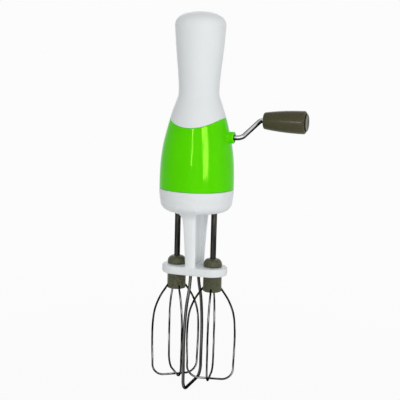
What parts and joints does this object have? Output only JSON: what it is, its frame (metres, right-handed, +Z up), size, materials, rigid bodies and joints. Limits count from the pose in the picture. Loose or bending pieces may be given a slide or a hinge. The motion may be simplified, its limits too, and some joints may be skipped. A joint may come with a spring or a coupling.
{
  "type": "manual blender",
  "caption": "Hand-cranked kitchen beater: bottle-shaped grip over a geared body, side crank with a tapered knob, wire beaters on driven shafts and a fixed wire rest loop.",
  "frame": {"origin": "middle of the rest loop's flat foot, where the beater is set down in a bowl", "axes": "+Z up along the grip, +X along the crank's axle towards the crank, -Y the front that the picture shows most of"},
  "size_m": [0.1181, 0.064, 0.3102],
  "materials": {
    "white_plastic": "smooth moulded, half gloss",
    "green_plastic": "high gloss",
    "olive_plastic": "satin moulded",
    "grey_plastic": "plain moulded",
    "nylon": "plain moulded",
    "acetal": "plain turned",
    "dark_steel": "polished, with dark reflections",
    "chrome_steel": "plated",
    "bright_steel": "plain",
    "zinc_screw": "zinc plated"
  },
  "bodies": {
    "housing": {"handle_front_shell": "white_plastic", "handle_rear_shell": "white_plastic", "handle_upper_screw": "zinc_screw", "handle_lower_screw": "zinc_screw", "body_sleeve": "green_plastic", "lower_housing": "white_plastic", "stand_loop": "dark_steel", "gear_frame": "grey_plastic", "frame_front_screw": "zinc_screw", "frame_rear_screw": "zinc_screw", "axle_bush_left": "acetal", "axle_bush_right": "acetal", "left_upper_bush": "acetal", "left_lower_bush": "acetal", "right_upper_bush": "acetal", "right_lower_bush": "acetal"},
    "crank": {"crank_rod": "chrome_steel", "crown_wheel": "nylon", "drive_pin": "bright_steel", "axle_clip": "bright_steel", "knob_retainer": "bright_steel"},
    "knob": {"crank_knob": "olive_plastic", "knob_end_cap": "olive_plastic"},
    "left_beater": {"left_shaft": "dark_steel", "left_pinion": "nylon", "left_dome": "olive_plastic", "left_collar": "olive_plastic", "left_outer_loop": "dark_steel", "left_inner_loop": "dark_steel"},
    "right_beater": {"right_shaft": "dark_steel", "right_pinion": "nylon", "right_dome": "olive_plastic", "right_collar": "olive_plastic", "right_outer_loop": "dark_steel", "right_inner_loop": "dark_steel"}
  },
  "joints": [
    {"name": "crank_spin", "type": "hinge", "parent": "housing", "child": "crank", "pos_m": [0, 0, 0.2105], "axis": [1, 0, 0], "continuous": true},
    {"name": "knob_spin", "type": "hinge", "parent": "crank", "child": "knob", "pos_m": [0.065, 0.024, 0.2235], "axis": [1, 0, 0], "continuous": true},
    {"name": "left_beater_spin", "type": "hinge", "parent": "housing", "child": "left_beater", "pos_m": [-0.01575, 0, 0], "axis": [0, 0, 1], "continuous": true},
    {"name": "right_beater_spin", "type": "hinge", "parent": "housing", "child": "right_beater", "pos_m": [0.01575, 0, 0], "axis": [0, 0, 1], "continuous": true}
  ],
  "couplings": [
    {"joint": "left_beater_spin", "follows": "crank_spin", "ratio": 4},
    {"joint": "right_beater_spin", "follows": "crank_spin", "ratio": -4}
  ]
}
